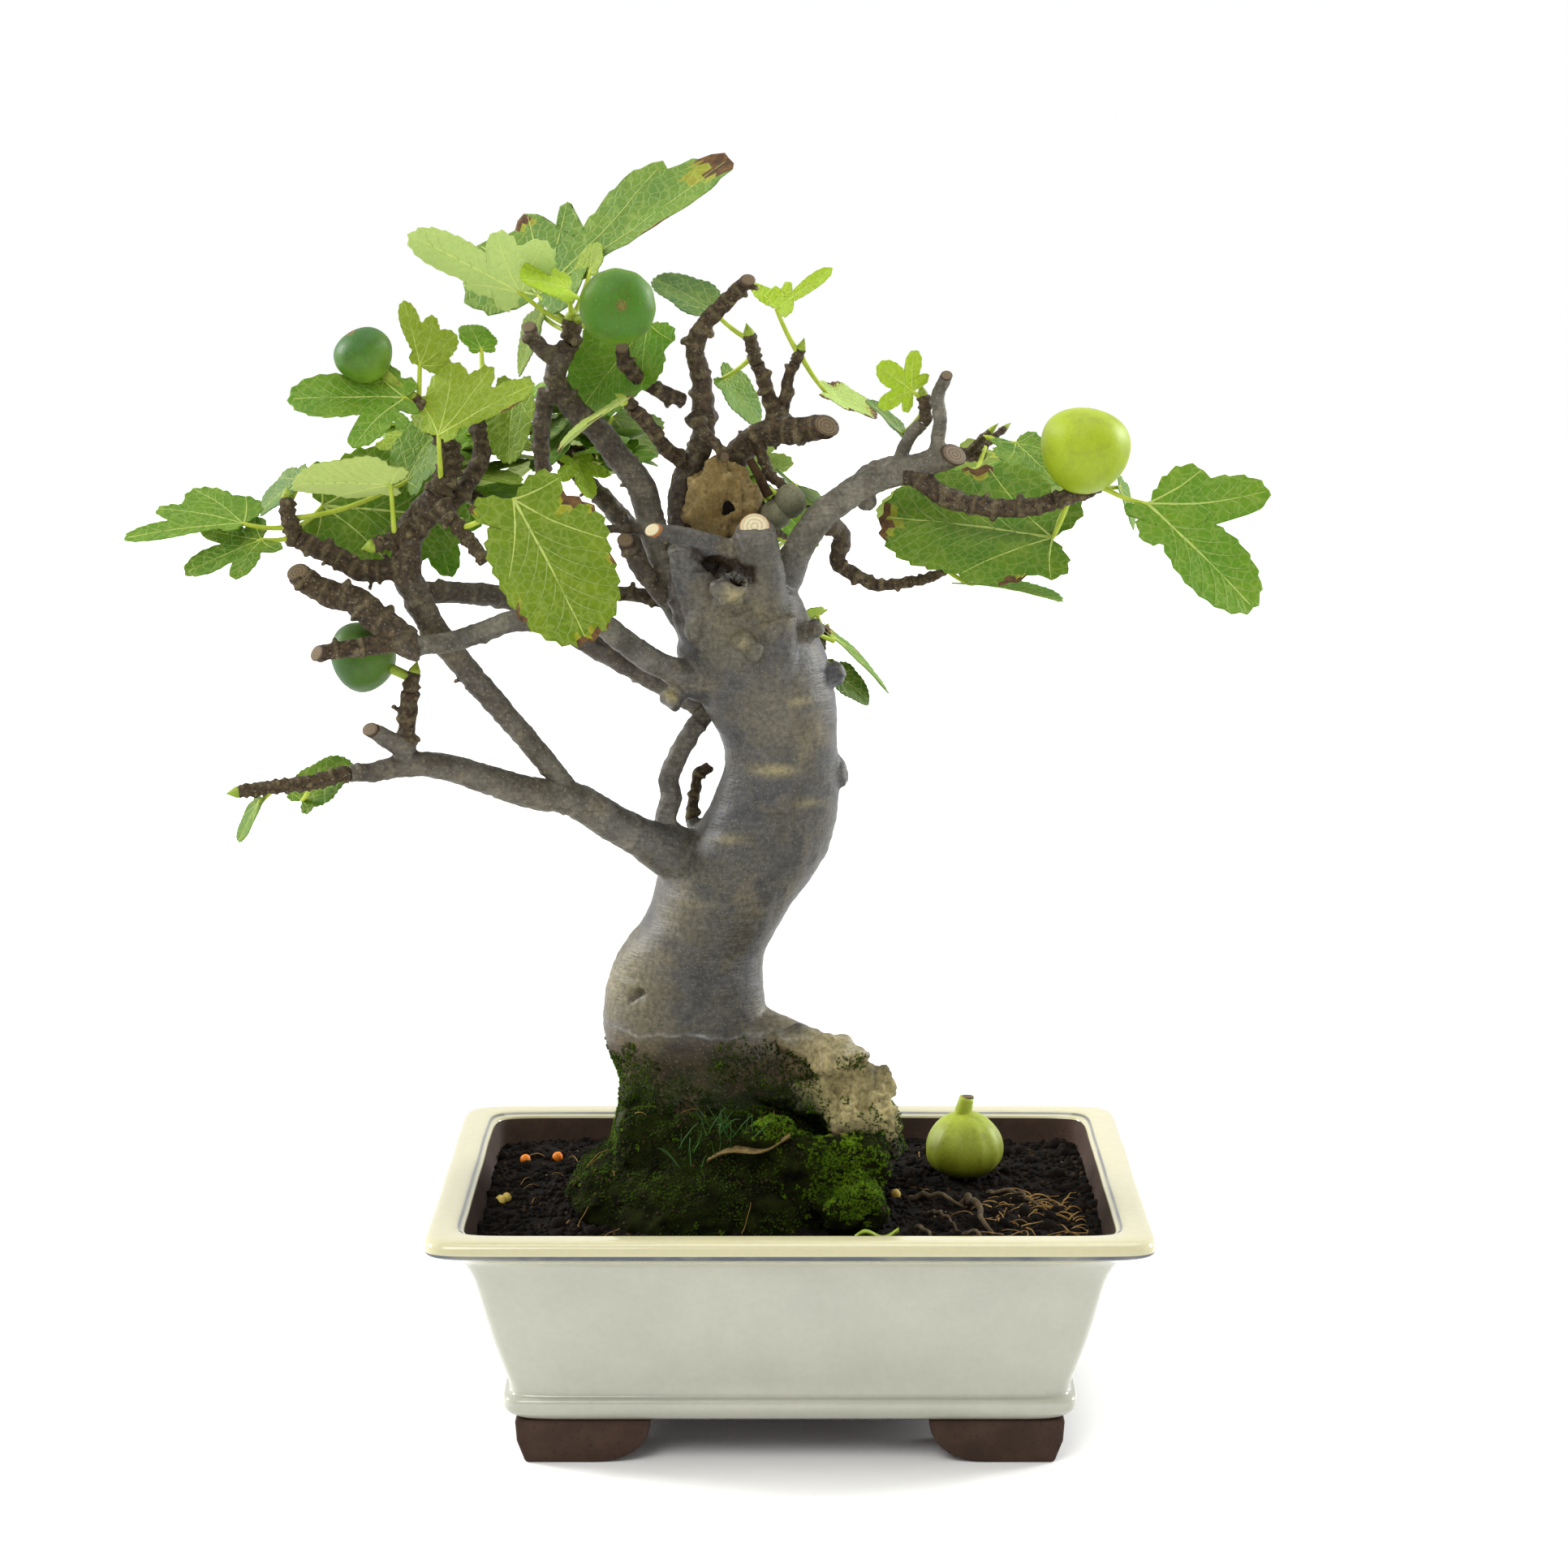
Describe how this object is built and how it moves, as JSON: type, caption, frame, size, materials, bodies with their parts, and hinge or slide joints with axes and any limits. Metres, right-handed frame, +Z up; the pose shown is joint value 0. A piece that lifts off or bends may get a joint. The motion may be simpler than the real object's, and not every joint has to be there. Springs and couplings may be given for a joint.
{
  "type": "common fig bonsai",
  "caption": "Bonsai of a common fig with a thick curved trunk, pruned boughs, lobed leaves and green figs, in a cream glazed rectangular pot on bracket feet.",
  "frame": {"origin": "middle of the whole plant's box, on the ground under the pot's feet", "axes": "+Z up, +X to the right of the picture's view, -Y towards its viewer"},
  "size_m": [0.5549, 0.2972, 0.6362],
  "materials": {
    "glaze": "glossy cream glaze",
    "clay": "bare brown clay",
    "soil": "dark granular bonsai soil",
    "moss": "low green moss",
    "bark": "smooth grey bark with scars",
    "foliage": "green leaves, petioles and figs",
    "fruit": "green fig"
  },
  "bodies": {
    "root": {"pot": "glaze", "foot_front_left": "clay", "foot_back_left": "clay", "foot_front_right": "clay", "foot_back_right": "clay", "soil": "soil", "trunk": "bark", "moss_mound": "moss", "fallen_fig": "fruit", "head_right_prong": "bark", "head_left_prong": "bark", "bough_upper_left": "bark", "bough_centre": "bark", "bough_back_centre": "bark", "centre_right_twig": "bark", "bough_right": "bark", "bough_right_outer": "bark", "bough_right_low": "bark", "bough_low_left": "bark", "low_left_upright": "bark", "bough_left_riser": "bark", "left_post": "bark", "bough_front_left": "bark", "left_fork_low": "bark", "left_spur": "bark", "left_fork_high": "bark", "left_side_twig": "bark", "front_twig": "bark", "left_top_twig": "bark", "bough_lower_left": "bark", "head_left_spur": "bark", "left_middle_twig": "bark", "front_shoot": "bark", "dark_shoot": "bark", "bough_back": "bark", "bough_back_right": "bark", "bough_back_left": "bark", "bough_far_left": "bark", "bough_right_back": "bark", "leaves_right_tip": "foliage", "leaves_right_inner": "foliage", "leaves_right_low": "foliage", "leaves_centre": "foliage", "leaves_centre_right": "foliage", "leaves_upper_left": "foliage", "leaves_left_top": "foliage", "leaves_left_post": "foliage", "leaves_left_middle": "foliage", "leaves_front": "foliage", "leaves_inner": "foliage", "leaves_left_tip": "foliage", "fig_low_left": "foliage", "leaves_low_left": "foliage", "figs_spent": "foliage", "leaves_back_right": "foliage", "leaves_back": "foliage", "leaves_back_left": "foliage", "leaves_far_left": "foliage", "leaves_right_back": "foliage"}
  },
  "joints": []
}
